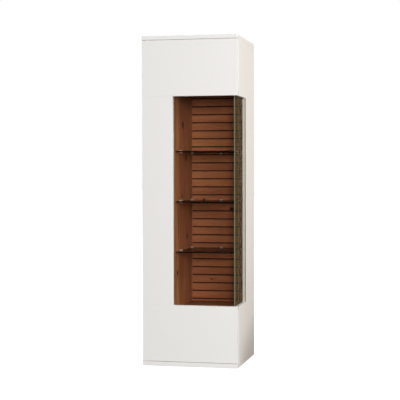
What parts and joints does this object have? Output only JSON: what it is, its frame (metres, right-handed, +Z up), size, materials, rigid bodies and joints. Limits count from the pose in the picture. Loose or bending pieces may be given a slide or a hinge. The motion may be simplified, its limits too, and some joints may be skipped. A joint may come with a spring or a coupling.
{
  "type": "wall mounted showcase",
  "caption": "Tall wall-hung display cabinet with a glazed front corner, slatted wood lining, glass shelves and a lapped-glass door.",
  "frame": {"origin": "middle of the two wall-screw holes in the wall rail, on the wall plane", "axes": "+Z up, +X right as seen from the front, -Y out of the wall towards the room, so the front faces -Y"},
  "size_m": [0.46, 0.37, 1.55],
  "materials": {
    "white_lacquer": "satin white lacquer on fibreboard",
    "white_board": "matt white foil on hardboard",
    "oak_veneer": "dark rustic oak veneer, oiled",
    "oak_slat": "dark rustic oak slats, oiled, horizontal grain",
    "black_backing": "black-stained fibreboard",
    "clear_glass": "clear toughened glass with polished edges",
    "smoked_glass": "smoked toughened glass with polished edges",
    "nickel": "bright nickel plate",
    "white_enamel": "white stove enamel on sheet steel",
    "steel": "zinc-plated sheet steel",
    "spring_steel": "drawn spring wire",
    "grey_plastic": "moulded light grey nylon",
    "white_nylon": "plain nylon",
    "beech": "fluted beech dowel",
    "clear_tape": "translucent acrylic bonding tape"
  },
  "bodies": {
    "carcase": {"bottom_board": "white_lacquer", "carcase_back_panel": "white_board", "carcase_dowels": "beech", "clamp_grub_screws": "steel", "corner_cam_bolts": "steel", "corner_cam_locks": "steel", "display_ceiling": "oak_veneer", "display_floor": "oak_veneer", "glass_shelf_lower": "smoked_glass", "glass_shelf_middle": "smoked_glass", "glass_shelf_upper": "smoked_glass", "hanger_adjusting_screws": "steel", "hanger_left_hook": "steel", "hanger_left_housing": "grey_plastic", "hanger_right_hook": "steel", "hanger_right_housing": "grey_plastic", "latch_end_caps": "grey_plastic", "latch_housing_screws": "steel", "latch_lower_housing": "grey_plastic", "latch_lower_spring": "spring_steel", "latch_upper_housing": "grey_plastic", "latch_upper_spring": "spring_steel", "left_side_panel": "white_lacquer", "partition_panel": "oak_veneer", "pivot_lower_pin": "steel", "pivot_lower_plate": "white_enamel", "pivot_plate_screws": "steel", "pivot_thrust_washer": "white_nylon", "pivot_upper_pin": "steel", "pivot_upper_plate": "white_enamel", "right_side_lower_panel": "white_lacquer", "right_side_rear_stile": "white_lacquer", "right_side_upper_panel": "white_lacquer", "shelf_clamps_back": "nickel", "shelf_clamps_left": "nickel", "shelf_clamps_right": "nickel", "side_glass_pane": "clear_glass", "side_glass_tape": "clear_tape", "side_seam_dowels": "beech", "side_shelf_lower": "white_lacquer", "side_shelf_middle": "white_lacquer", "side_shelf_pins": "nickel", "side_shelf_upper": "white_lacquer", "slat_backing_panel": "black_backing", "top_board": "white_lacquer", "wall_rail": "steel", "wood_slats": "oak_slat"},
    "door": {"door_upper_board": "white_lacquer", "door_lower_board": "white_lacquer", "door_left_stile": "white_lacquer", "door_dowels": "beech", "door_glass_pane": "clear_glass", "door_glass_tape": "clear_tape", "pivot_upper_bush": "white_nylon", "pivot_lower_bush": "white_nylon", "latch_strike_plates": "steel", "latch_strike_screws": "steel"},
    "upper_plunger": {"latch_upper_plunger": "white_nylon"},
    "lower_plunger": {"latch_lower_plunger": "white_nylon"}
  },
  "joints": [
    {"name": "door_swing", "type": "hinge", "parent": "carcase", "child": "door", "pos_m": [-0.217, -0.3605, -0.703], "axis": [0, 0, -1], "range_deg": [0, 110]},
    {"name": "upper_latch_press", "type": "slide", "parent": "carcase", "child": "upper_plunger", "axis": [0, 1, 0], "range_m": [0, 0.003], "stiffness_N_per_m": 300, "springref_m": -0.003, "deforming": ["latch_upper_spring"]},
    {"name": "lower_latch_press", "type": "slide", "parent": "carcase", "child": "lower_plunger", "axis": [0, 1, 0], "range_m": [0, 0.003], "stiffness_N_per_m": 300, "springref_m": -0.003, "deforming": ["latch_lower_spring"]}
  ]
}
